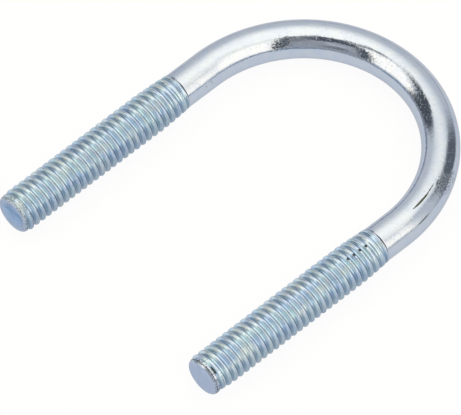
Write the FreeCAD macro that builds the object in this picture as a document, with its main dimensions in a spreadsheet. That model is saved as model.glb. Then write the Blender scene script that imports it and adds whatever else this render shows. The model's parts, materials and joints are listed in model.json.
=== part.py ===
import FreeCAD, Part
import os
import Sketcher

# U-bolt: one round steel rod, bent into a half circle with two straight legs, with a rolled
# right-hand thread on each leg.
#
# Frame: the rod's centre line lies in the XY plane. The origin is the centre of the bend, so
# the clamped pipe's axis is Z. The bend is on the +Y side and both legs point towards -Y.
# The shank is thinner than the thread: it is the blank that the thread was rolled from.

DRIVING_SIZES = {
    "leg_spacing": 49.3,             # between the centre lines of the two legs
    "shank_diameter": 6.95,          # plain rod, close to the thread's pitch diameter
    "leg_length": 46.5,              # from the centre of the bend to the end of each leg
    "thread_diameter": 7.94,         # across the crests
    "thread_pitch": 1.411,           # eighteen threads to the inch
    "left_thread_length": 39.2,      # leg at -X
    "right_thread_length": 41.4,     # leg at +X
    "end_face_diameter": 7.1,        # flat end, inside the lead-in bevel
    "bevel_length": 0.5,             # lead-in bevel, along the leg
    "shoulder_length": 3.4,          # run-out: a cone from the crests down to the shank
    "dish_diameter": 5.6,            # shallow cup that rolling left in the end of the left leg
    "dish_depth": 0.45,
}

# A 60 degree thread: the groove is this many pitches deep and wide.
GROOVE_DEPTH_IN_PITCHES = 0.6134
ROOT_WIDTH_IN_PITCHES = 0.1667
CREST_WIDTH_IN_PITCHES = 0.125
FLANK_SLOPE = 0.57735                # tangent of half the thread angle
CUT_ABOVE_CREST = 0.1                # the cutting profile stands this far above the crests

NODE_NAME = "threaded_u_rod"


def fill_sheet(sheet):
    """Write every driving size in its own row, with its name as the alias."""
    for row, (alias, size) in enumerate(DRIVING_SIZES.items(), start=1):
        sheet.set("A%d" % row, alias)
        sheet.set("B%d" % row, str(size))
        sheet.setAlias("B%d" % row, alias)


def value(expression):
    """The number that an expression over the sheet's sizes has now."""
    return float(sheet.evalExpression(expression))


def new_sketch(name, plane_role, offsets):
    """A sketch on one of the body's own origin planes, moved by expressions in its own axes."""
    sketch = body.newObject("Sketcher::SketchObject", name)
    plane = [item for item in body.Origin.OriginFeatures if item.Role == plane_role][0]
    sketch.AttachmentSupport = [(plane, "")]
    sketch.MapMode = "FlatFace"
    for axis, expression in offsets.items():
        sketch.setExpression(".AttachmentOffset.Base." + axis, expression)
    return sketch


def bind(sketch, constraint, expression):
    """Add a size constraint and tie it to the sheet."""
    index = sketch.addConstraint(constraint)
    sketch.setExpression("Constraints[%d]" % index, expression)


def draw_circle(sketch, centre_x, radius):
    """A circle centred on the sketch's horizontal axis, on the side that the sign gives."""
    side = 1 if value(centre_x) > 0 else -1
    centre = FreeCAD.Vector(value(centre_x), 0, 0)
    circle = sketch.addGeometry(Part.Circle(centre, FreeCAD.Vector(0, 0, 1), value(radius)))
    sketch.addConstraint(Sketcher.Constraint("PointOnObject", circle, 3, -1))
    bind(sketch, Sketcher.Constraint("Radius", circle, value(radius)), radius)
    ends = (-1, 1, circle, 3) if side > 0 else (circle, 3, -1, 1)
    distance = centre_x if side > 0 else "-(%s)" % centre_x
    bind(sketch, Sketcher.Constraint("DistanceX", *ends, value(distance)), distance)


def draw_outline(sketch, corners):
    """A closed outline of straight lines through corners given as pairs of expressions."""
    points = [FreeCAD.Vector(value(x), value(y), 0) for x, y in corners]
    for start, end in zip(points, points[1:] + points[:1]):
        sketch.addGeometry(Part.LineSegment(start, end))
    for line, (x, y) in enumerate(corners):
        following = (line + 1) % len(corners)
        sketch.addConstraint(Sketcher.Constraint("Coincident", line, 2, following, 1))
        for direction, axis, expression in (("DistanceX", -2, x), ("DistanceY", -1, y)):
            if expression == "0":
                sketch.addConstraint(Sketcher.Constraint("PointOnObject", line, 1, axis))
            else:
                size = Sketcher.Constraint(direction, -1, 1, line, 1, value(expression))
                bind(sketch, size, expression)


def add_plain_rod():
    """The half-circle bend and the unthreaded core of both legs."""
    bend_section = new_sketch("bend_section", "XZ_Plane", {})
    draw_circle(bend_section, "sizes.leg_spacing / 2", "sizes.shank_diameter / 2")
    bend = body.newObject("PartDesign::Revolution", "bend")
    bend.Profile = bend_section
    bend.ReferenceAxis = (bend_section, ["V_Axis"])
    bend.Angle = 180

    leg_sections = new_sketch("leg_sections", "XZ_Plane", {})
    for side in ("", "-"):
        draw_circle(leg_sections, side + "sizes.leg_spacing / 2", "sizes.shank_diameter / 2")
    legs = body.newObject("PartDesign::Pad", "legs")
    legs.Profile = leg_sections
    legs.setExpression("Length", "sizes.leg_length / 2")


def add_stud(side, sign):
    """The thicker stretch that carries the thread, bevelled at the tip and coned at the shank."""
    length = "sizes.%s_thread_length" % side
    crest_radius = "sizes.thread_diameter / 2"
    outline = new_sketch(side + "_stud_outline", "XY_Plane",
                         {"x": sign + "sizes.leg_spacing / 2", "y": "-sizes.leg_length"})
    draw_outline(outline, [
        ("0", "0"),
        ("sizes.end_face_diameter / 2", "0"),
        (crest_radius, "sizes.bevel_length"),
        (crest_radius, length + " - sizes.shoulder_length"),
        ("sizes.shank_diameter / 2", length),
        ("0", length),
    ])
    stud = body.newObject("PartDesign::Revolution", side + "_stud")
    stud.Profile = outline
    stud.ReferenceAxis = (outline, ["V_Axis"])
    stud.Angle = 360


def add_thread(side, sign):
    """Cut the helical groove, from a pitch outside the tip to the end of the shoulder."""
    groove_middle = "sizes.thread_pitch"
    outer_radius = "sizes.thread_diameter / 2 + %g" % CUT_ABOVE_CREST
    root_radius = "sizes.thread_diameter / 2 - %g * sizes.thread_pitch" % GROOVE_DEPTH_IN_PITCHES
    root_half = "%g * sizes.thread_pitch" % (ROOT_WIDTH_IN_PITCHES / 2)
    mouth_half = "%g * sizes.thread_pitch + %g" % (
        (1 - CREST_WIDTH_IN_PITCHES) / 2, CUT_ABOVE_CREST * FLANK_SLOPE)
    section = new_sketch(side + "_groove_section", "XY_Plane",
                         {"x": sign + "sizes.leg_spacing / 2",
                          "y": "-sizes.leg_length - 2 * sizes.thread_pitch"})
    draw_outline(section, [
        (root_radius, groove_middle + " - " + root_half),
        (outer_radius, groove_middle + " - (" + mouth_half + ")"),
        (outer_radius, groove_middle + " + " + mouth_half),
        (root_radius, groove_middle + " + " + root_half),
    ])
    groove = body.newObject("PartDesign::SubtractiveHelix", side + "_thread")
    groove.Profile = section
    groove.ReferenceAxis = (section, ["V_Axis"])
    groove.Mode = "pitch-height-angle"
    groove.setExpression("Pitch", "sizes.thread_pitch")
    groove.setExpression("Height", "sizes.%s_thread_length + sizes.thread_pitch" % side)
    groove.LeftHanded = False


def add_dish(side, sign):
    """The shallow cup in the end of one leg: a sphere that bites into the flat end."""
    sphere_radius = "((sizes.dish_diameter / 2) ^ 2 + sizes.dish_depth ^ 2) / (2 * sizes.dish_depth)"
    dish = body.newObject("PartDesign::SubtractiveSphere", side + "_end_dish")
    dish.setExpression("Radius", sphere_radius)
    dish.setExpression("Placement.Base.x", sign + "sizes.leg_spacing / 2")
    dish.setExpression("Placement.Base.y",
                       "-sizes.leg_length + sizes.dish_depth - " + sphere_radius)


def check_document():
    """Stop if any object failed to build or the rod isn't one valid solid."""
    for item in doc.Objects:
        if "Invalid" in item.State or "Error" in item.State:
            raise RuntimeError("%s failed to build: %s" % (item.Label, item.State))
    if body.Shape.isNull() or not body.Shape.isValid() or len(body.Shape.Solids) != 1:
        raise RuntimeError("the rod isn't one valid solid")


def build_step(step, removes=False):
    """Recompute after a step and stop if it didn't add or remove material as it should."""
    before = body.Shape.Volume if not body.Shape.isNull() else 0
    step()
    doc.recompute()
    change = body.Shape.Volume - before
    if (change >= 0) if removes else (change <= 0):
        raise RuntimeError("a step changed the volume by %.2f mm3" % change)


doc = FreeCAD.newDocument("u_bolt")
sheet = doc.addObject("Spreadsheet::Sheet", "sizes")
fill_sheet(sheet)
doc.recompute()

body = doc.addObject("PartDesign::Body", NODE_NAME)
body.Label = NODE_NAME
body.Placement = FreeCAD.Placement()

build_step(add_plain_rod)
for side, sign in (("left", "-"), ("right", "")):
    build_step(lambda: add_stud(side, sign))
build_step(lambda: add_dish("left", "-"), removes=True)
for side, sign in (("left", "-"), ("right", "")):
    build_step(lambda: add_thread(side, sign), removes=True)
check_document()

os.makedirs("parts", exist_ok=True)
body.Shape.exportStep("parts/%s.step" % body.Label)
print("%s: %.1f mm3, box %s" % (body.Label, body.Shape.Volume, body.Shape.BoundBox))
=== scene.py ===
import json
import math

import bpy
import numpy as np
from mathutils import Matrix, Vector


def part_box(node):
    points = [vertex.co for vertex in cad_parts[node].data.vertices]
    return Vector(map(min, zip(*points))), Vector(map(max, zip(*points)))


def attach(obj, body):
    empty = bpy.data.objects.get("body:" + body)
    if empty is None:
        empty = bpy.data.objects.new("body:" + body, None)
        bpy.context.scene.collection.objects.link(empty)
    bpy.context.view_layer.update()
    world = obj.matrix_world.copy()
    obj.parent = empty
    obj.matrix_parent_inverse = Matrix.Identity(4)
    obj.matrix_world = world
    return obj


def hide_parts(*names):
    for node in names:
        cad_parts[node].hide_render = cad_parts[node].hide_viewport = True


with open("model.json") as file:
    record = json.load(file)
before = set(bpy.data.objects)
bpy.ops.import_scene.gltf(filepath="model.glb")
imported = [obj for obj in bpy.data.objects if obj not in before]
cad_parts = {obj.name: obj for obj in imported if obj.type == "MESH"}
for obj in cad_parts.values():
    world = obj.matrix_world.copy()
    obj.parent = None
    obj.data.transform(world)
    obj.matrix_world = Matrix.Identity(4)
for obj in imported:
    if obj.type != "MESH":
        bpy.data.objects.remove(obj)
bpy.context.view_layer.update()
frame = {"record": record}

# A bare U-bolt: a bent steel rod with bright zinc plating and a rolled thread on each leg.
# Lengths are in metres, in the frame of the CAD model: the rod's centre line is in the XY plane,
# the bend's centre is the origin, and both legs point towards -Y.

NODE = "threaded_u_rod"
PIECE = "u_bolt_rod"

MM = 0.001
UP = np.array([0, 0, 1.0])
MOUNTS = {mount["name"]: mount["dims"] for mount in frame["record"]["mounts"]}
LOW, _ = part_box(NODE)

BEND_RADIUS = MOUNTS["leg_studs"]["spacing_x_mm"] / 2 * MM
CREST_RADIUS = MOUNTS["leg_studs"]["stud_r_mm"] * MM
SHANK_RADIUS = BEND_RADIUS - MOUNTS["pipe_saddle"]["r_mm"] * MM
LEG_LENGTH = -LOW.y
ROD_LENGTH = 2 * LEG_LENGTH + math.pi * BEND_RADIUS

# The rolled thread.
PITCH = 1.411 * MM
CREST_WIDTH = 0.18                              # in pitches, before the corners are rounded
FLANK_RISE = 1.9 * MM                           # radial rise of a flank over one pitch
ROOT_RADIUS = CREST_RADIUS - 0.41 * PITCH
CREST_ROUNDING = 0.15 * MM
ROOT_ROUNDING = 0.12 * MM
UNEVENNESS = 0.012 * MM                         # small waves in the height of the ridges

# The end of the thread towards the shank.
RUN_OUT = 7.0 * MM                              # over which the ridges sink to the shank
SINKING = 1.6                                   # power of that curve: higher is steeper at its end
LAST_RIDGE = 0.06 * MM                          # how far the last ridge stands above the shank
GROOVE_FADE = (0.2 * PITCH, 3.2 * PITCH)        # from the shank, where they go from none to full depth
DIE_LINE_HEIGHT = 0.032 * MM                    # fine lines that the rolling dies leave
DIE_LINE_SPACING = 0.42 * MM
DIE_LINES = (1.5 * MM, 0.9 * MM)                # from the shank, where they fade in
UNDERCUT_DEPTH, UNDERCUT_WIDTH = 0.08 * MM, 0.1 * MM
UNDERCUT_AT = 0.12 * MM                         # past the thread's end, on the shank
STEP = (-0.04 * MM, 0.03 * MM)                  # where the thread gives way to the shank
THREAD_COLOUR = (-0.1 * MM, 0.3 * MM)           # from the shank, where the thread's colours fade in

# The tips.
FACE_RADIUS = 3.32 * MM
BAND_RADIUS = 3.72 * MM                         # squashed band between the face and the first groove
BAND_RISE = (-0.15 * MM, 0.40 * MM)             # from the tip, where the face's edge turns into it
BEVEL_LENGTH = 1.5 * MM
BEVEL_TOP = CREST_RADIUS + 0.05 * MM
BEVEL_ROUNDING = 0.06 * MM
RIM_LINE_DEPTH, RIM_LINE_WIDTH = 0.12 * MM, 0.10 * MM
RIM_LINE_AT = 0.36 * MM                         # from the tip
SQUASHED_FADE = 0.35 * MM                       # over which a squashed groove opens
FACE_EDGE_DROP = 0.04 * MM                      # how far the face stands proud of its own edge
BEADS_START = (0.05 * MM, 0.3 * MM)             # from the tip, where the beads on a wrinkled band rise

# End faces, from and to shares of their radius.
FACE_EDGE = (1.0, 0.94)                         # the edge's small drop
BEADED_RING = (0.7, 0.85), (1.0, 0.93)          # the beads' inner and outer edges
DISH_WALL = (0.90, 0.45)

# The mesh.
COLUMNS = 120                                   # columns around the rod
BEND_ROWS = 240                                 # rows along the plain rod
FINE_ROW = 0.045 * MM                           # rows of the tips and shoulders
TIP_ROWS = (0.0, 0.004 * MM, 0.012 * MM, 0.025 * MM)
RING_STRETCH = 1.2 * MM                         # length at each end of a thread meshed with rings
PAST_SHOULDER = 0.4 * MM                        # how far the fine rows go on into the shank
ROW_GAP = 0.025 * MM                            # no two rows of a column come closer than this
SAME_ROW = 0.6 * ROW_GAP                        # rows of two columns this close are one

# Rows across one thread, in turns from the crest to the root: close together where it curves.
ROWS_CREST_TO_ROOT = (0, 0.03, 0.055, 0.08, 0.11, 0.17, 0.25, 0.33, 0.39, 0.44, 0.5)

# Rings of an end face, as shares of its radius.
FACE_RINGS = (0.997, 0.99, 0.98, 0.96, 0.93, 0.89, 0.84, 0.78, 0.7, 0.6, 0.5, 0.4, 0.3, 0.2, 0.1)


class Worn:
    """The side of a tip where the first ridges stay low."""

    def __init__(self, angle, depth, length):
        self.angle = math.radians(angle)
        self.depth = depth
        self.length = length


class Leg:
    """One threaded leg. Distances along the rod are counted from the tip of the left leg."""

    def __init__(self, tip, inwards, thread_length, crest_at, worn, squashed, dish_depth=0.0,
                 wrinkles=0.0):
        self.tip = tip                          # distance of this leg's tip along the rod
        self.inwards = inwards                  # +1 where the distance grows away from the tip
        self.thread_length = thread_length
        self.crest_at = crest_at                # distance of one crest at angle 0
        self.worn = worn
        self.squashed = squashed                # length at the tip where the groove is shut
        self.dish_depth = dish_depth
        self.wrinkles = wrinkles                # height of the beads around the tip

    def from_tip(self, distance):
        return (distance - self.tip) * self.inwards

    def to_shank(self, distance):
        return self.thread_length - self.from_tip(distance)

    def at(self, from_tip):
        """Distance along the rod of a place counted from this leg's tip."""
        return self.tip + self.inwards * from_tip

    def opened(self, distance):
        """0 where the groove is squashed shut at the tip, 1 further in."""
        return smooth_step(self.squashed, self.squashed + SQUASHED_FADE, self.from_tip(distance))


LEFT = Leg(0.0, 1, 39.2 * MM, 0.52 * PITCH, Worn(30, 0.20 * MM, 2.5 * MM), 0.35 * MM,
           dish_depth=0.45 * MM, wrinkles=0.05 * MM)
RIGHT = Leg(ROD_LENGTH, -1, 41.4 * MM, ROD_LENGTH - 0.40 * PITCH, Worn(-30, 0.48 * MM, 4.5 * MM),
            0.85 * MM)
LEGS = (LEFT, RIGHT)


def smooth_step(low, high, x):
    """0 below low, 1 above high, and a smooth rise between them."""
    share = np.clip((x - low) / (high - low), 0, 1)
    return share * share * (3 - 2 * share)


def bump(x, middle, width):
    """1 at the middle, with the fall of a bell curve."""
    return np.exp(-((x - middle) / width) ** 2)


def soft_min(a, b, rounding):
    """The smaller of a and b, with the corner between them rounded off."""
    blend = np.clip(0.5 + 0.5 * (b - a) / rounding, 0, 1)
    return b * (1 - blend) + a * blend - rounding * blend * (1 - blend)


def soft_max(a, b, rounding):
    return -soft_min(-a, -b, rounding)


# ---------------------------------------------------------------- the rod's shape

def centre_line(distance):
    """Points, outward directions and tangents of the rod's centre line, for many distances."""
    turned = np.clip((distance - LEG_LENGTH) / BEND_RADIUS, 0, math.pi)
    outward = np.stack([-np.cos(turned), np.sin(turned), 0 * turned], -1)
    tangent = np.stack([np.sin(turned), np.cos(turned), 0 * turned], -1)
    straight = distance - LEG_LENGTH - BEND_RADIUS * turned
    return BEND_RADIUS * outward + straight[..., None] * tangent, outward, tangent


def around(angle, outward):
    """Directions away from the centre line, at angles from outwards towards up."""
    return np.cos(angle)[..., None] * outward + np.sin(angle)[..., None] * UP


def thread_phase(leg, distance, angle):
    """Turns past the nearest crest, from -0.5 to 0.5. The thread is right-handed on both legs."""
    turns = (distance - leg.crest_at) / PITCH - angle / (2 * math.pi)
    return turns - np.round(turns)


def waves(distance, angle):
    """Smooth uneven waves over the thread, from -1 to 1."""
    turns = distance / PITCH
    return (np.sin(3 * angle + 0.7 * turns) + np.sin(1.9 * turns + 2 * angle + 1)
            + np.sin(5 * angle - 1.3 * turns + 2)) / 3


def wrinkle(angle):
    """Uneven beads around a tip."""
    return 0.6 * np.sin(17 * angle + 2 * np.sin(3 * angle)) + 0.4 * np.sin(29 * angle + 1)


def ridge_height(leg, distance, angle):
    """The radius of the ridges: full along the leg, lower at a worn tip and towards the shank."""
    from_tip = leg.from_tip(distance)
    rise = 1 - (1 - np.clip(leg.to_shank(distance) / RUN_OUT, 0, 1)) ** SINKING
    lowest = SHANK_RADIUS + LAST_RIDGE
    height = lowest + (CREST_RADIUS - UNEVENNESS - lowest) * rise
    worn = 0.5 + 0.5 * np.cos(angle - leg.worn.angle)
    height = height - leg.worn.depth * worn * (1 - smooth_step(0, leg.worn.length, from_tip))
    return height + UNEVENNESS * waves(distance, angle)


def thread_radius(leg, distance, angle):
    """The thread, with grooves that are shallow towards the shank and shut at the tip."""
    away = np.abs(thread_phase(leg, distance, angle))
    flank = CREST_RADIUS - (away - CREST_WIDTH / 2) * FLANK_RISE
    ridge = soft_min(flank, ridge_height(leg, distance, angle), CREST_ROUNDING)
    depth = smooth_step(*GROOVE_FADE, leg.to_shank(distance))
    root = SHANK_RADIUS + (ROOT_RADIUS - SHANK_RADIUS) * depth
    opened = leg.opened(distance)
    return soft_max(ridge, root * opened + BAND_RADIUS * (1 - opened), ROOT_ROUNDING)


def bevel_radius(leg, from_tip, angle):
    """The most that the radius may be near the tip: a band with a fine line and beads."""
    band = FACE_RADIUS + (BAND_RADIUS - FACE_RADIUS) * smooth_step(*BAND_RISE, from_tip)
    band = band + (BEVEL_TOP - BAND_RADIUS) * smooth_step(BEVEL_LENGTH / 2, BEVEL_LENGTH, from_tip)
    band = band - RIM_LINE_DEPTH * bump(from_tip, RIM_LINE_AT, RIM_LINE_WIDTH)
    return band + leg.wrinkles * wrinkle(angle) * smooth_step(*BEADS_START, from_tip)


def leg_radius(leg, distance, angle):
    """The surface's radius on one leg, from the tip to the plain shank."""
    from_tip, to_shank = leg.from_tip(distance), leg.to_shank(distance)
    thread = thread_radius(leg, distance, angle)
    bevelled = soft_min(thread, bevel_radius(leg, from_tip, angle), BEVEL_ROUNDING)
    thread = np.where(from_tip < BEVEL_LENGTH, bevelled, thread)
    lines = np.cos(2 * math.pi * to_shank / DIE_LINE_SPACING) * smooth_step(*DIE_LINES, to_shank)
    thread = thread + DIE_LINE_HEIGHT * lines
    shank = SHANK_RADIUS - UNDERCUT_DEPTH * bump(to_shank, -UNDERCUT_AT, UNDERCUT_WIDTH)
    on_shank = smooth_step(*STEP, -to_shank)
    return thread * (1 - on_shank) + shank * on_shank


def surface_radius(distance, angle):
    """The rod's radius at arrays of distances and angles."""
    return np.where(distance < ROD_LENGTH / 2, leg_radius(LEFT, distance, angle),
                    leg_radius(RIGHT, distance, angle))


# ---------------------------------------------------------------- the rod's mesh

def thread_rows(leg, column):
    """Distances of the mesh rows that follow the helix, in one column, sorted along the rod."""
    low, high = sorted((leg.at(RING_STRETCH), leg.at(leg.thread_length - RING_STRETCH)))
    profile = sorted({-share for share in ROWS_CREST_TO_ROOT[:-1]} | set(ROWS_CREST_TO_ROOT))
    start = math.floor((low - leg.crest_at) / PITCH) - 2
    stop = math.ceil((high - leg.crest_at) / PITCH) + 2
    rows = [leg.crest_at + PITCH * (turn + share + column / COLUMNS)
            for turn in range(start, stop) for share in profile]
    return [row for row in rows if low + ROW_GAP < row < high - ROW_GAP]


def shoulder_rows(leg):
    """Distances from the tip of the fine rows where the thread ends."""
    return np.arange(leg.thread_length - RING_STRETCH, leg.thread_length + PAST_SHOULDER, FINE_ROW)


def ring_rows():
    """Distances of the rows that are plain rings: tips, shoulders, shanks and the bend."""
    tip = list(TIP_ROWS) + list(np.arange(0.05 * MM, RING_STRETCH, FINE_ROW)) + [RING_STRETCH]
    left, right = shoulder_rows(LEFT), shoulder_rows(RIGHT)
    plain = np.linspace(left[-1], ROD_LENGTH - right[-1], BEND_ROWS + 1)[1:-1]
    return tip + list(left) + list(plain) + [ROD_LENGTH - row for row in reversed([*tip, *right])]


def zip_columns(left, right):
    """Faces between two columns of vertices, each a sorted list of (distance, vertex)."""
    faces = []
    i = j = 0
    while i < len(left) - 1 or j < len(right) - 1:
        left_next = left[i + 1][0] if i < len(left) - 1 else math.inf
        right_next = right[j + 1][0] if j < len(right) - 1 else math.inf
        if abs(left_next - right_next) < SAME_ROW:
            faces.append((left[i][1], right[j][1], right[j + 1][1], left[i + 1][1]))
            i += 1
            j += 1
        elif left_next < right_next:
            faces.append((left[i][1], right[j][1], left[i + 1][1]))
            i += 1
        else:
            faces.append((left[i][1], right[j][1], right[j + 1][1]))
            j += 1
    return faces


def dish_share(leg, share):
    """0 on the rim of an end face, 1 on the floor of its dish if it has one."""
    return float(smooth_step(*DISH_WALL, share)) if leg.dish_depth else 0.0


def tip_points(leg, share, angle):
    """Points of the end face, on a ring that is a share of the face's radius."""
    tip = np.full_like(angle, leg.tip)
    point, outward, tangent = centre_line(tip)
    inner_edge, outer_edge = BEADED_RING
    on_rim = smooth_step(*inner_edge, share) * smooth_step(*outer_edge, share)
    hollow = (leg.dish_depth * dish_share(leg, share) + leg.wrinkles * wrinkle(angle + 0.3) * on_rim
              - FACE_EDGE_DROP * smooth_step(*FACE_EDGE, share))
    side = (surface_radius(tip, angle) * share)[..., None] * around(angle, outward)
    return point + side + (leg.inwards * hollow)[..., None] * tangent


class RodMesh:
    """Vertices and faces of the rod, with the place of each vertex on the straightened rod."""

    def __init__(self):
        self.points = []
        self.unbent = []
        self.dish = []                          # share of the way into a tip's dish
        self.faces = []
        self.columns = []

    def add_points(self, points, unbent, dish):
        """Add vertices and give the number of the first."""
        first = len(self.points)
        self.points += [tuple(point) for point in points]
        self.unbent += unbent
        self.dish += [dish] * len(unbent)
        return first

    def add_side(self):
        """The rod's side, in columns along it whose rows on the threads follow the helix."""
        rings = ring_rows()
        for column in range(COLUMNS):
            rows = sorted(rings + thread_rows(LEFT, column) + thread_rows(RIGHT, column))
            distance = np.array(rows)
            turned = 2 * math.pi * column / COLUMNS
            angle = np.full_like(distance, turned)
            radius = surface_radius(distance, angle)
            point, outward, _ = centre_line(distance)
            unbent = [(r * math.cos(turned), r * math.sin(turned), d) for r, d in zip(radius, distance)]
            first = self.add_points(point + radius[:, None] * around(angle, outward), unbent, 0.0)
            self.columns.append([(row, first + index) for index, row in enumerate(rows)])
        for column, following in zip(self.columns, self.columns[1:] + self.columns[:1]):
            self.faces += zip_columns(column, following)

    def add_tip(self, leg, end):
        """An end face: rings of quads around a fan, joined to one end of the columns."""
        angles = 2 * math.pi * np.arange(COLUMNS) / COLUMNS
        outer = [column[end][1] for column in self.columns]
        for share in FACE_RINGS:
            radius = FACE_RADIUS * share
            unbent = [(radius * math.cos(a), radius * math.sin(a), leg.tip) for a in angles]
            first = self.add_points(tip_points(leg, share, angles), unbent, dish_share(leg, share))
            inner = list(range(first, first + COLUMNS))
            for c in range(COLUMNS):
                n = (c + 1) % COLUMNS
                self.add_face((outer[c], outer[n], inner[n], inner[c]), leg.inwards > 0)
            outer = inner
        middle = tip_points(leg, 0.0, np.array([0.0]))
        centre = self.add_points(middle, [(0, 0, leg.tip)], dish_share(leg, 0.0))
        for c in range(COLUMNS):
            self.add_face((outer[c], outer[(c + 1) % COLUMNS], centre), leg.inwards > 0)

    def add_face(self, corners, flip):
        self.faces.append(corners[::-1] if flip else corners)


def helix_attribute(distance, angle, side_vertices):
    """Where each vertex is on the thread's profile: cosine of the phase (1 on a crest, -1 in a
    root), its sine towards the bend, and the distance in pitches. 0, 0 on the end faces."""
    on_left = distance < ROD_LENGTH / 2
    helix = np.zeros((len(distance), 3))
    helix[:, 2] = distance / PITCH
    for leg, there in ((LEFT, on_left), (RIGHT, ~on_left)):
        phase = 2 * math.pi * thread_phase(leg, distance, angle)
        profile = np.stack([np.cos(phase), leg.inwards * np.sin(phase)], -1)
        opened = leg.opened(distance)[:, None]
        squashed = profile * opened + np.array([1, 0]) * (1 - opened)
        helix[:, :2] = np.where(there[:, None], squashed, helix[:, :2])
    helix[side_vertices:, :2] = 0
    return helix


def add_attributes(mesh, rod_mesh, side_vertices):
    """What the materials need to know about each vertex."""
    unbent = np.array(rod_mesh.unbent)
    distance = unbent[:, 2]
    angle = np.arctan2(unbent[:, 1], unbent[:, 0])
    to_shank = np.where(distance < ROD_LENGTH / 2, LEFT.to_shank(distance), RIGHT.to_shank(distance))
    threaded = smooth_step(*THREAD_COLOUR, to_shank)
    end_face = np.zeros(len(unbent))
    end_face[side_vertices:] = 1
    vectors = {"unbent": unbent, "helix": helix_attribute(distance, angle, side_vertices)}
    numbers = {"threaded": threaded, "end_face": end_face, "dish": np.array(rod_mesh.dish)}
    for kind, key, attributes in (("FLOAT_VECTOR", "vector", vectors), ("FLOAT", "value", numbers)):
        for name, values in attributes.items():
            attribute = mesh.attributes.new(name, kind, "POINT")
            attribute.data.foreach_set(key, values.astype(np.float32).ravel())


def build_rod():
    """The whole rod as one closed mesh."""
    rod_mesh = RodMesh()
    rod_mesh.add_side()
    side_vertices = len(rod_mesh.points)
    rod_mesh.add_tip(LEFT, 0)
    rod_mesh.add_tip(RIGHT, -1)
    mesh = bpy.data.meshes.new(PIECE)
    mesh.from_pydata(rod_mesh.points, [], rod_mesh.faces)
    mesh.validate()
    mesh.shade_smooth()
    add_attributes(mesh, rod_mesh, side_vertices)
    rod = bpy.data.objects.new(PIECE, mesh)
    bpy.context.scene.collection.objects.link(rod)
    return rod


# ---------------------------------------------------------------- node helpers

def opaque(colour):
    return (*colour, 1.0)


def grey(level):
    return (level, level, level, 1.0)


class Nodes:
    """A short way to add and join shader nodes."""

    def __init__(self, tree):
        self.tree = tree

    def add(self, kind, **settings):
        node = self.tree.nodes.new(kind)
        for name, value in settings.items():
            setattr(node, name, value)
        return node

    def set(self, socket, value):
        """Give an input a number or colour, or join it to an output."""
        if isinstance(value, bpy.types.NodeSocket):
            self.tree.links.new(value, socket)
        else:
            socket.default_value = value

    def math(self, operation, a, b=0.0, c=0.0):
        node = self.add("ShaderNodeMath", operation=operation)
        for socket, value in zip(node.inputs, (a, b, c)):
            self.set(socket, value)
        return node.outputs[0]

    def product(self, first, *others):
        for other in others:
            first = self.math("MULTIPLY", first, other)
        return first

    def highest(self, first, *others):
        for other in others:
            first = self.math("MAXIMUM", first, other)
        return first

    def times_plus(self, a, b, c):
        return self.math("MULTIPLY_ADD", a, b, c)

    def vector_math(self, operation, a, b=(0, 0, 0), scale=1.0):
        node = self.add("ShaderNodeVectorMath", operation=operation)
        self.set(node.inputs[0], a)
        self.set(node.inputs[1], b)
        if operation == "SCALE":
            self.set(node.inputs[3], scale)
        return node.outputs[1 if operation in ("DOT_PRODUCT", "DISTANCE") else 0]

    def split(self, vector):
        """The three numbers of a vector."""
        node = self.add("ShaderNodeSeparateXYZ")
        self.set(node.inputs[0], vector)
        return node.outputs

    def ramp(self, value, low, high, to_low=0.0, to_high=1.0, smooth=True):
        """Map value from low..high to to_low..to_high, held at the ends."""
        kind = "SMOOTHSTEP" if smooth else "LINEAR"
        node = self.add("ShaderNodeMapRange", interpolation_type=kind)
        for socket, setting in zip(node.inputs, (value, low, high, to_low, to_high)):
            self.set(socket, setting)
        return node.outputs["Result"]

    def band(self, value, limits, softness):
        """1 where value is between the limits, with soft edges."""
        low, high = limits
        rise = self.ramp(value, low - softness / 2, low + softness / 2)
        fall = self.ramp(value, high - softness / 2, high + softness / 2, 1.0, 0.0)
        return self.product(rise, fall)

    def mix(self, share, a, b):
        """A colour that goes from a to b as share goes from 0 to 1."""
        node = self.add("ShaderNodeMix", data_type="RGBA")
        for socket, value in zip((node.inputs["Factor"], node.inputs[6], node.inputs[7]), (share, a, b)):
            colour = isinstance(value, tuple) and len(value) == 3
            self.set(socket, opaque(value) if colour else value)
        return node.outputs[2]

    def blend(self, share, a, b):
        """A number that goes from a to b as share goes from 0 to 1."""
        node = self.add("ShaderNodeMix", data_type="FLOAT")
        for socket, value in zip((node.inputs[0], node.inputs[2], node.inputs[3]), (share, a, b)):
            self.set(socket, value)
        return node.outputs[0]

    def noise(self, vector, scale, detail=2.0, roughness=0.5):
        node = self.add("ShaderNodeTexNoise")
        self.set(node.inputs["Vector"], vector)
        node.inputs["Scale"].default_value = scale
        node.inputs["Detail"].default_value = detail
        node.inputs["Roughness"].default_value = roughness
        return node.outputs["Fac"]

    def shifted(self, vector, distance):
        return self.vector_math("ADD", vector, (distance, distance, distance))

    def scaled(self, vector, scale):
        return self.vector_math("MULTIPLY", vector, scale)

    def attribute(self, name, output):
        return self.add("ShaderNodeAttribute", attribute_name=name).outputs[output]


# ---------------------------------------------------------------- the zinc plating

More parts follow.
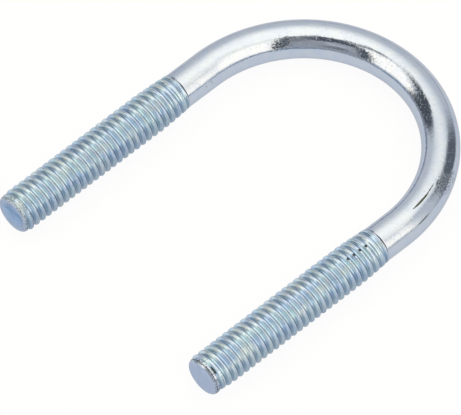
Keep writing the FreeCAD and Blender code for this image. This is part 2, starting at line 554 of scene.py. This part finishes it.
# Marks on it: distance along the rod in millimetres and angle around it in degrees.
SCRATCHES = (
    # start, end, half width in mm, darkness
    ((113.8, 73), (117.0, 73.5), 0.18, 0.95),
    ((116.0, 72.3), (120.6, 76), 0.33, 1.0),
    ((118.6, 32), (121.8, 30), 0.22, 0.95),
    ((112.6, 66), (114.4, 62), 0.16, 0.8),
    ((43.2, 160), (43.7, 166), 0.15, 0.7),
    ((44.4, 158), (45.0, 161), 0.15, 0.7),
    ((44.3, 166), (45.3, 168), 0.13, 0.6),
    ((169.25, 72), (169.15, 44), 0.42, 0.95),   # the dark wedge by the right tip
)
PITTED_PATCHES = (
    # place, radius in mm, darkness
    ((59.8, 140.5), 1.15, 1.0),
    ((60.9, 137), 1.3, 1.0),
    ((62.0, 133), 1.15, 1.0),
    ((112.8, 42), 2.1, 0.6),
    ((110.6, 24), 1.5, 0.5),
)
THREAD_PITS = ((136.2, 77), (134.8, 76), (133.4, 77), (132.0, 76))
PIT_RADIUS = 0.45 * MM
PITS_ON = CREST_RADIUS - 0.1 * MM               # radius of the surface that the pits are centred on
SCRATCH_END_WIDTH = 0.02 * MM                   # added to the half width all along
RAGGEDNESS = 0.12 * MM                          # how much a scratch's sides waver

# Parts of the thread with a colour of their own (the crests) or with painted shade (the low,
# west and under sides, the grooves and the flanks): by height, by place from east to west, and
# by the cosine and sine of the helix's phase. Each pair is where a part begins and where it is full.
LOW_SIDE, UNDERSIDE = (2.5 * MM, 0.9 * MM), (2.2 * MM, 0.0)
WEST_SIDE = (0.45 * MM, -0.65 * MM)
ON_CREST, IN_GROOVE = (0.80, 0.96), (0.05, -0.75)
BEND_SIDE, TIP_SIDE = (0.35, 0.75), (0.2, -0.3)

# Bands and rings of painted shade, and of specks and relief: the limits or the middle, then the softness
# or the half width.
WEST_STREAK = (-1.35 * MM, 0.0), 0.8 * MM
DISH_STREAK = (-0.1 * MM, 0.9 * MM), 0.8 * MM
FIRST_CRESTS = 1.3 * MM, 1.9 * MM               # from the tip
DIE_EDGE = 0.08 * MM, 0.16 * MM                 # from the thread's end, on the shank
RIM_LINE_LEFT, RIM_LINE_RIGHT = 0.15 * MM, 0.18 * MM    # half widths
WRINKLED_SKIN = (2.6 * MM, 0.4 * MM)            # from the left tip, where it fades in

# Sizes of the noise, in features per metre.
FINE_GRAIN, GRAIN, RAGGED_EDGE = 3600, 3300, 4000
PEEL, BLOTCH = 1900, 900
SHANK_CLOUD, DULL_CLOUD, TINT_CLOUD, PALE_CLOUD = 500, 420, 380, 300
RIPPLE = (600, 600, 110)                        # drawn lengthwise
STREAK = (1.3, 1.3, 4.0)                        # per turn of the helix
BUMP_HEIGHT = 0.03 * MM

# Colours, linear. Pairs are the two ends of soft clouds.
SHANK_BLUES = ((0.50, 0.56, 0.68), (0.53, 0.585, 0.675))
FLANK_BLUES = ((0.51, 0.67, 0.89), (0.62, 0.80, 0.89))
CREST_BLUES = ((0.51, 0.58, 0.76), (0.54, 0.63, 0.72))
FLANK_PALE = (0.74, 0.84, 0.89)
FACE_BLUE, DISH_BLUE, DISH_SHADE = (0.43, 0.52, 0.70), (0.32, 0.50, 0.77), (0.14, 0.27, 0.50)
# Colours of painted shade on the thread: in its grooves, on its flanks and towards its bottom. The dull
# blue is a colour of the plating.
LOW_WEST_GROOVE_SHADE, GROOVE_SHADE = (0.12, 0.26, 0.44), (0.10, 0.16, 0.24)
BEND_SIDE_SHADE, TIP_SIDE_SHADE = (0.14, 0.18, 0.24), (0.10, 0.13, 0.18)
DULL_BLUE, UNDERSIDE_SHADE = (0.13, 0.19, 0.27), (0.16, 0.22, 0.30)
# The rim-line and die-edge colours are painted shade; the specks, scratches and pits are marks.
RIM_LINE_SHADE, SPECK_DARK, DIE_EDGE_SHADE = (0.07, 0.09, 0.12), (0.05, 0.06, 0.08), (0.05, 0.07, 0.10)
SCRATCH_DARK, PIT_DARK = (0.05, 0.06, 0.03), (0.02, 0.025, 0.03)
SPECULAR_TINT = (0.75, 0.75, 0.78)

# Roughness and metal.
SHANK_ROUGHNESS, FLANK_ROUGHNESS, CREST_ROUGHNESS = (0.06, 0.13), (0.26, 0.38), 0.22
SCRATCH_ROUGHNESS = 0.5
SHANK_METAL, THREAD_METAL = 1.0, 0.86


class Surface:
    """What the plating's nodes know about a point of the rod, each a node output."""

    def __init__(self, nodes):
        self.place = nodes.attribute("unbent", "Vector")
        self.helix = nodes.attribute("helix", "Vector")
        self.threaded = nodes.attribute("threaded", "Fac")
        self.face = nodes.attribute("end_face", "Fac")
        self.dish = nodes.attribute("dish", "Fac")
        self.off_face = nodes.math("SUBTRACT", 1.0, self.face)
        self.ridge, self.bend_side, _ = nodes.split(self.helix)
        outwards, self.height, self.distance = nodes.split(self.place)

        # East and west are the sides of a leg towards +X and -X.
        middle = (0.4 * ROD_LENGTH, 0.6 * ROD_LENGTH)   # on the bend, where no colour needs the side
        east = nodes.product(outwards, nodes.ramp(self.distance, *middle, -1.0, 1.0))
        self.on_left = nodes.ramp(self.distance, *middle, 1.0, 0.0)
        # The low side, the west side, the streak along it and both sides together are where painted shade
        # goes on the thread.
        self.low_side = nodes.ramp(self.height, *LOW_SIDE)
        self.west_side = nodes.ramp(east, *WEST_SIDE)
        self.west_streak = nodes.band(east, *WEST_STREAK)
        self.sides = nodes.highest(self.low_side, self.west_side)

        self.on_crest = nodes.ramp(self.ridge, *ON_CREST)
        self.in_groove = nodes.ramp(self.ridge, *IN_GROOVE)
        self.grains = nodes.noise(self.place, GRAIN, 1)


def on_rod(place, radius=SHANK_RADIUS):
    """A place on the shank or on the crests, as a point of the straightened rod."""
    distance, angle = place
    angle = math.radians(angle)
    return (radius * math.cos(angle), radius * math.sin(angle), distance * MM)


def scratch_mask(nodes, surface, start, end, half_width):
    """1 along a line between two places, fading to 0 at its ragged sides and its ends."""
    start, end = Vector(on_rod(start)), Vector(on_rod(end))
    along = end - start
    from_start = nodes.vector_math("SUBTRACT", surface.place, tuple(start))
    projected = nodes.vector_math("DOT_PRODUCT", from_start, tuple(along))
    share = nodes.ramp(nodes.math("DIVIDE", projected, along.length_squared), 0.0, 1.0, smooth=False)
    nearest = nodes.vector_math("SCALE", tuple(along), scale=share)
    ragged = nodes.product(nodes.noise(surface.place, RAGGED_EDGE, 1), RAGGEDNESS)
    away = nodes.math("ADD", nodes.vector_math("DISTANCE", from_start, nearest), ragged)
    taper = nodes.product(share, nodes.math("SUBTRACT", 1.0, share), 4.0)
    width = nodes.times_plus(nodes.math("SQRT", taper), half_width, SCRATCH_END_WIDTH)
    return nodes.ramp(nodes.math("DIVIDE", away, width), 1.0, 0.4)


def spot_mask(nodes, surface, centre, radius, softness):
    """1 around a point of the straightened rod."""
    away = nodes.vector_math("DISTANCE", surface.place, centre)
    return nodes.ramp(away, radius, radius * (1 - softness))


def ring_mask(nodes, surface, at, half_width):
    """1 on a ring around the rod at one distance, fading to 0 at its sides."""
    away = nodes.math("ABSOLUTE", nodes.math("SUBTRACT", surface.distance, at))
    return nodes.ramp(away, half_width, 0.4 * half_width)


class Marks:
    """Masks of the damage, from 0 to 1."""

    def __init__(self, nodes, surface):
        scratches = [nodes.product(scratch_mask(nodes, surface, start, end, width * MM), dark)
                     for start, end, width, dark in SCRATCHES]
        pits = [spot_mask(nodes, surface, on_rod(centre, PITS_ON), PIT_RADIUS, 0.6)
                for centre in THREAD_PITS]
        patches = [nodes.product(spot_mask(nodes, surface, on_rod(centre), radius * MM, 0.5), dark)
                   for centre, radius, dark in PITTED_PATCHES]
        self.scratches = nodes.highest(*scratches)
        self.pits = nodes.highest(*pits)
        self.scattered = nodes.product(nodes.ramp(surface.grains, 0.65, 0.73), 0.5)
        self.crowded = nodes.product(nodes.ramp(surface.grains, 0.49, 0.55), nodes.highest(*patches))


def shank_colour(nodes, surface):
    cloud = nodes.noise(surface.place, SHANK_CLOUD, 3)
    return nodes.mix(nodes.ramp(cloud, 0.35, 0.65), *SHANK_BLUES)


def face_colour(nodes, surface):
    """The end faces: a deeper blue in the dish, with a streak of painted shade across it."""
    colour = nodes.mix(nodes.product(surface.dish, 0.8), FACE_BLUE, DISH_BLUE)
    streak = nodes.product(nodes.band(surface.height, *DISH_STREAK), surface.dish)
    return nodes.mix(nodes.product(streak, 0.55), colour, DISH_SHADE)


def ridge_colour(nodes, surface):
    """The passivation on the flanks and crests, in soft clouds of blue and a paler tint."""
    tint = nodes.ramp(nodes.noise(surface.place, TINT_CLOUD, 3, 0.6), 0.38, 0.62)
    pale = nodes.noise(nodes.shifted(surface.place, 0.05), PALE_CLOUD, 2)
    flank = nodes.mix(nodes.ramp(pale, 0.50, 0.70), nodes.mix(tint, *FLANK_BLUES), FLANK_PALE)
    flank = nodes.mix(surface.face, flank, face_colour(nodes, surface))
    return nodes.mix(surface.on_crest, flank, nodes.mix(tint, *CREST_BLUES))


def shaded(nodes, surface, colour):
    """Painted shade on the thread: in the grooves, on the flanks that face the bend and the tip,
    on its low and west sides and towards the bottom; and clouds of a duller blue.
    """
    # Painted shade on the flanks that face the bend, stronger on the west side.
    behind = nodes.product(nodes.ramp(surface.bend_side, *BEND_SIDE),
                           nodes.times_plus(surface.west_side, 0.30, 0.20))
    colour = nodes.mix(behind, colour, BEND_SIDE_SHADE)
    # Painted shade in the grooves of the low and west sides.
    colour = nodes.mix(nodes.product(surface.in_groove, surface.sides, 0.58), colour, LOW_WEST_GROOVE_SHADE)
    # Painted shade on the tip-side flanks, in a streak along the west side and on the low side.
    streaked = nodes.highest(surface.west_streak, nodes.product(surface.low_side, 0.8))
    tip_side = nodes.product(nodes.ramp(surface.bend_side, *TIP_SIDE), streaked)
    colour = nodes.mix(nodes.product(tip_side, 0.34), colour, TIP_SIDE_SHADE)
    # Painted shade in every groove.
    colour = nodes.mix(nodes.product(surface.in_groove, 0.16), colour, GROOVE_SHADE)
    cloud = nodes.noise(nodes.shifted(surface.place, 0.11), DULL_CLOUD, 3)
    dull = nodes.times_plus(surface.on_left, 0.03, nodes.product(nodes.ramp(cloud, 0.50, 0.68), 0.12))
    colour = nodes.mix(nodes.product(dull, surface.off_face), colour, DULL_BLUE)
    # Painted shade, stronger towards the bottom of the thread.
    underside = nodes.product(nodes.ramp(surface.height, *UNDERSIDE, 0.0, 0.34), surface.off_face)
    return nodes.mix(underside, colour, UNDERSIDE_SHADE)


def tip_shade_and_specks(nodes, surface, colour):
    """Painted shade in the line around each tip, and dark specks on the first crests."""
    left = ring_mask(nodes, surface, LEFT.at(RIM_LINE_AT), RIM_LINE_LEFT)
    right = ring_mask(nodes, surface, RIGHT.at(RIM_LINE_AT), RIM_LINE_RIGHT)
    # Painted shade in the rim lines, patchy, weaker on the left tip.
    lines = nodes.product(nodes.times_plus(left, 0.55, right), surface.off_face)
    patchy = nodes.ramp(surface.grains, 0.38, 0.58, 0.15, 0.9)
    colour = nodes.mix(nodes.product(lines, patchy), colour, RIM_LINE_SHADE)
    middle, half_width = FIRST_CRESTS
    first_crests = nodes.highest(*[ring_mask(nodes, surface, leg.at(middle), half_width)
                                   for leg in LEGS])
    specks = nodes.ramp(nodes.noise(surface.place, FINE_GRAIN, 1), 0.52, 0.62)
    specks = nodes.product(specks, first_crests, surface.off_face, surface.on_crest, 0.7)
    return nodes.mix(specks, colour, SPECK_DARK)


def plating_colour(nodes, surface, marks):
    thread = tip_shade_and_specks(nodes, surface, shaded(nodes, surface, ridge_colour(nodes, surface)))
    colour = nodes.mix(surface.threaded, shank_colour(nodes, surface), thread)
    # Painted shade on the step where each thread ends, weaker on the low and west sides.
    past_thread, half_width = DIE_EDGE
    edges = nodes.highest(*[ring_mask(nodes, surface, leg.at(leg.thread_length + past_thread), half_width)
                            for leg in LEGS])
    edges = nodes.product(edges, nodes.times_plus(surface.sides, -0.65, 0.85))
    colour = nodes.mix(edges, colour, DIE_EDGE_SHADE)
    colour = nodes.mix(nodes.product(marks.crowded, 0.9), colour, SPECK_DARK)
    colour = nodes.mix(marks.scratches, colour, SCRATCH_DARK)
    return nodes.mix(marks.pits, colour, PIT_DARK)


def plating_roughness(nodes, surface, marks):
    """Mirror-like on the shank, satin on the thread, dull in scratches."""
    blotches = nodes.noise(surface.place, BLOTCH, 3)
    shank = nodes.ramp(blotches, 0.35, 0.7, *SHANK_ROUGHNESS)
    flank = nodes.ramp(blotches, 0.3, 0.7, *FLANK_ROUGHNESS)
    thread = nodes.blend(surface.on_crest, flank, CREST_ROUGHNESS)
    roughness = nodes.blend(surface.threaded, shank, thread)
    return nodes.highest(roughness, nodes.product(marks.scratches, SCRATCH_ROUGHNESS))


def shank_relief(nodes, surface, marks):
    """Drawn ripples, orange peel, small pits crowded in patches, and scratches."""
    ripple = nodes.noise(nodes.scaled(surface.place, RIPPLE), 1.0, 3)
    relief = nodes.times_plus(nodes.noise(surface.place, PEEL, 3), 0.6, nodes.product(ripple, 1.6))
    for mask, depth in ((marks.scattered, 0.9), (marks.crowded, 2.2), (marks.scratches, 0.6)):
        relief = nodes.times_plus(mask, -depth, relief)
    return relief


def thread_relief(nodes, surface):
    """Streaks that follow the helix, and a wrinkled skin near the left tip."""
    streaks = nodes.product(nodes.noise(nodes.scaled(surface.helix, STREAK), 1.0, 2), 0.7)
    near_tip = nodes.ramp(surface.distance, *WRINKLED_SKIN)
    skin = nodes.product(nodes.noise(surface.place, GRAIN, 2), near_tip)
    return nodes.times_plus(skin, 4.0, streaks)


def relief_normal(nodes, relief):
    node = nodes.add("ShaderNodeBump")
    node.inputs["Strength"].default_value = 1.0
    node.inputs["Distance"].default_value = BUMP_HEIGHT
    nodes.set(node.inputs["Height"], relief)
    return node.outputs["Normal"]


def zinc_plating():
    """Bright zinc with a thin blue passivation."""
    material = bpy.data.materials.new("zinc_plating")
    material.use_nodes = True
    nodes = Nodes(material.node_tree)
    surface = Surface(nodes)
    marks = Marks(nodes, surface)
    relief = nodes.blend(surface.threaded, shank_relief(nodes, surface, marks),
                         thread_relief(nodes, surface))
    shader = material.node_tree.nodes["Principled BSDF"]
    nodes.set(shader.inputs["Base Color"], plating_colour(nodes, surface, marks))
    nodes.set(shader.inputs["Metallic"], nodes.blend(surface.threaded, SHANK_METAL, THREAD_METAL))
    nodes.set(shader.inputs["Roughness"], plating_roughness(nodes, surface, marks))
    nodes.set(shader.inputs["Specular Tint"], opaque(SPECULAR_TINT))
    nodes.set(shader.inputs["Normal"], relief_normal(nodes, relief))
    return material


# ---------------------------------------------------------------- surroundings

# The studio that the metal mirrors. Light colours are linear. Azimuth 0 is towards -Y and 90 is
# towards +X, and all angles are in degrees.
TABLE_LIGHT = (0.93, 0.94, 0.93)
WALL_LIGHT = (0.80, 0.81, 0.80)
CEILING_LIGHT = (1.76, 1.66, 1.42)
SOFT_BOX_LIGHT = (1.90, 1.72, 1.44)
WALL_TOP = (22, 74)                             # elevations between which wall turns into ceiling
TABLE_EDGE = (-3, 1)                            # and table into wall


class Panel:
    """Something that stands in front of the wall, with soft edges."""

    def __init__(self, azimuths, elevations, light, softness, lean=0.0):
        self.azimuths = azimuths
        self.elevations = elevations
        self.light = light
        self.softness = softness                # of its sides, and of its top and bottom
        self.lean = lean                        # degrees sideways for each degree up


def neutral(level):
    return (level, level, level)


def shade(level):
    """A dim, slightly blue light."""
    return (0.92 * level, level, 1.1 * level)


PANELS = (
    Panel((-200, 200), (-7, 3), neutral(0.66), (1, 8)),                     # far edge of the table
    Panel((-108, 64), (-6, 3), shade(0.42), (14, 7)),
    Panel((66, 137), (5, 64), SOFT_BOX_LIGHT, (6, 16)),                     # right soft box
    Panel((66, 140), (54, 68), (1.50, 1.42, 1.20), (10, 8)),
    Panel((122, 152), (-2, 50), (0.82, 0.83, 0.80), (24, 14)),              # wall beside it
    Panel((-52, -9), (6, 59), SOFT_BOX_LIGHT, (7, 14), 0.05),               # left soft box
    Panel((-80, -51), (2, 57), shade(0.12), (10, 13), 0.45),                # doorway beside it
    Panel((-62, 60), (61, 68), shade(0.20), (16, 8)),                       # dark edge of the ceiling
    Panel((-13, 40), (44, 68), shade(0.14), (6, 9), -0.1),
    Panel((-11, 3), (4, 60), shade(0.15), (6, 9), 0.12),                    # frame of the left box
    Panel((1, 57), (3, 44), neutral(0.50), (6, 8)),                         # room behind the camera
    Panel((8, 24), (24, 38), neutral(0.72), (12, 12)),
    Panel((10, 28), (8, 20), neutral(0.28), (10, 8)),
    Panel((37, 57), (40, 68), neutral(0.33), (8, 6)),
    Panel((55, 67), (8, 66), shade(0.17), (6, 10)),                         # frame of the right box
    Panel((146, 184), (-9, 42), shade(0.18), (18, 16), -0.15),              # doorway on the right
)
LEAN_PIVOT = 20                                 # elevation where a leaning panel keeps its azimuths


def panel_mask(nodes, panel, azimuth, elevation):
    side_softness, end_softness = panel.softness
    leaning = nodes.times_plus(elevation, panel.lean, azimuth)
    limits = [limit + LEAN_PIVOT * panel.lean for limit in panel.azimuths]
    sideways = nodes.band(leaning, limits, side_softness)
    if limits[1] > 180:
        further = nodes.math("ADD", leaning, 360.0)
        sideways = nodes.highest(sideways, nodes.band(further, limits, side_softness))
    return nodes.product(sideways, nodes.band(elevation, panel.elevations, end_softness))


def build_surroundings():
    """The studio as a world. Only the metal sees it: to the camera the backdrop is plain white."""
    world = bpy.data.worlds.new("studio")
    bpy.context.scene.world = world
    world.use_nodes = True
    world.node_tree.nodes.clear()
    nodes = Nodes(world.node_tree)
    x, y, z = nodes.split(nodes.add("ShaderNodeTexCoord").outputs["Generated"])
    azimuth = nodes.product(nodes.math("ARCTAN2", x, nodes.product(y, -1.0)), math.degrees(1))
    elevation = nodes.product(nodes.math("ARCSINE", z), math.degrees(1))

    colour = nodes.mix(nodes.ramp(elevation, *WALL_TOP), WALL_LIGHT, CEILING_LIGHT)
    colour = nodes.mix(nodes.ramp(elevation, *TABLE_EDGE), TABLE_LIGHT, colour)
    for panel in PANELS:
        colour = nodes.mix(panel_mask(nodes, panel, azimuth, elevation), colour, panel.light)

    seen = nodes.add("ShaderNodeLightPath").outputs["Is Camera Ray"]
    background = nodes.add("ShaderNodeBackground")
    nodes.set(background.inputs["Color"], nodes.mix(seen, colour, grey(1.0)))
    nodes.set(nodes.add("ShaderNodeOutputWorld").inputs["Surface"], background.outputs[0])


FLOOR_RADIUS = 2.0
FLOOR_CORNERS = 64
FLOOR_GLOW = 0.93


def white_floor():
    """A lit white table: mostly its own glow, so that shadows on it stay faint."""
    material = bpy.data.materials.new("white_floor")
    material.use_nodes = True
    settings = {"Base Color": grey(0.07), "Roughness": 1.0, "Specular IOR Level": 0.0,
                "Emission Color": grey(1.0), "Emission Strength": FLOOR_GLOW}
    shader = material.node_tree.nodes["Principled BSDF"]
    for name, value in settings.items():
        shader.inputs[name].default_value = value
    return material


def build_floor():
    """A round white table top under the part. The metal mirrors the world's table instead."""
    angles = [2 * math.pi * corner / FLOOR_CORNERS for corner in range(FLOOR_CORNERS)]
    points = [(FLOOR_RADIUS * math.cos(a), FLOOR_RADIUS * math.sin(a), 0) for a in angles]
    mesh = bpy.data.meshes.new("table_top")
    mesh.from_pydata(points, [], [tuple(range(FLOOR_CORNERS))])
    floor = bpy.data.objects.new("table_top", mesh)
    floor.location.z = LOW.z
    floor.visible_glossy = False
    floor.data.materials.append(white_floor())
    bpy.context.scene.collection.objects.link(floor)


# ---------------------------------------------------------------- camera

CAMERA_TARGET = Vector((0.75, -17.68, 0.0)) * MM
CAMERA_AZIMUTH = math.radians(49.667)           # 0 looks along +Y, 90 along -X
CAMERA_ELEVATION = math.radians(53.011)
CAMERA_ROLL = math.radians(2.93)
CAMERA_DISTANCE = 2.56
VIEW_WIDTH = 81.1544 * MM                       # width seen at the target


def build_camera():
    """A long lens, well away from the part."""
    camera = bpy.data.objects.new("camera", bpy.data.cameras.new("camera"))
    bpy.context.scene.collection.objects.link(camera)
    forward = -Vector((math.cos(CAMERA_ELEVATION) * math.sin(CAMERA_AZIMUTH),
                       -math.cos(CAMERA_ELEVATION) * math.cos(CAMERA_AZIMUTH),
                       math.sin(CAMERA_ELEVATION)))
    level = forward.cross(Vector(UP)).normalized()
    right = Matrix.Rotation(CAMERA_ROLL, 3, forward) @ level
    rotation = Matrix((right, right.cross(forward), -forward)).transposed()
    place = CAMERA_TARGET - CAMERA_DISTANCE * forward
    camera.matrix_world = Matrix.Translation(place) @ rotation.to_4x4()
    camera.data.sensor_width = 36
    camera.data.angle = 2 * math.atan(VIEW_WIDTH / 2 / CAMERA_DISTANCE)
    camera.data.clip_end = 10
    bpy.context.scene.camera = camera


# ---------------------------------------------------------------- the scene

build_camera()
bpy.context.scene.view_settings.view_transform = "Standard"
build_surroundings()
build_floor()

rod = build_rod()
rod.data.materials.append(zinc_plating())
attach(rod, "root")
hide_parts(NODE)
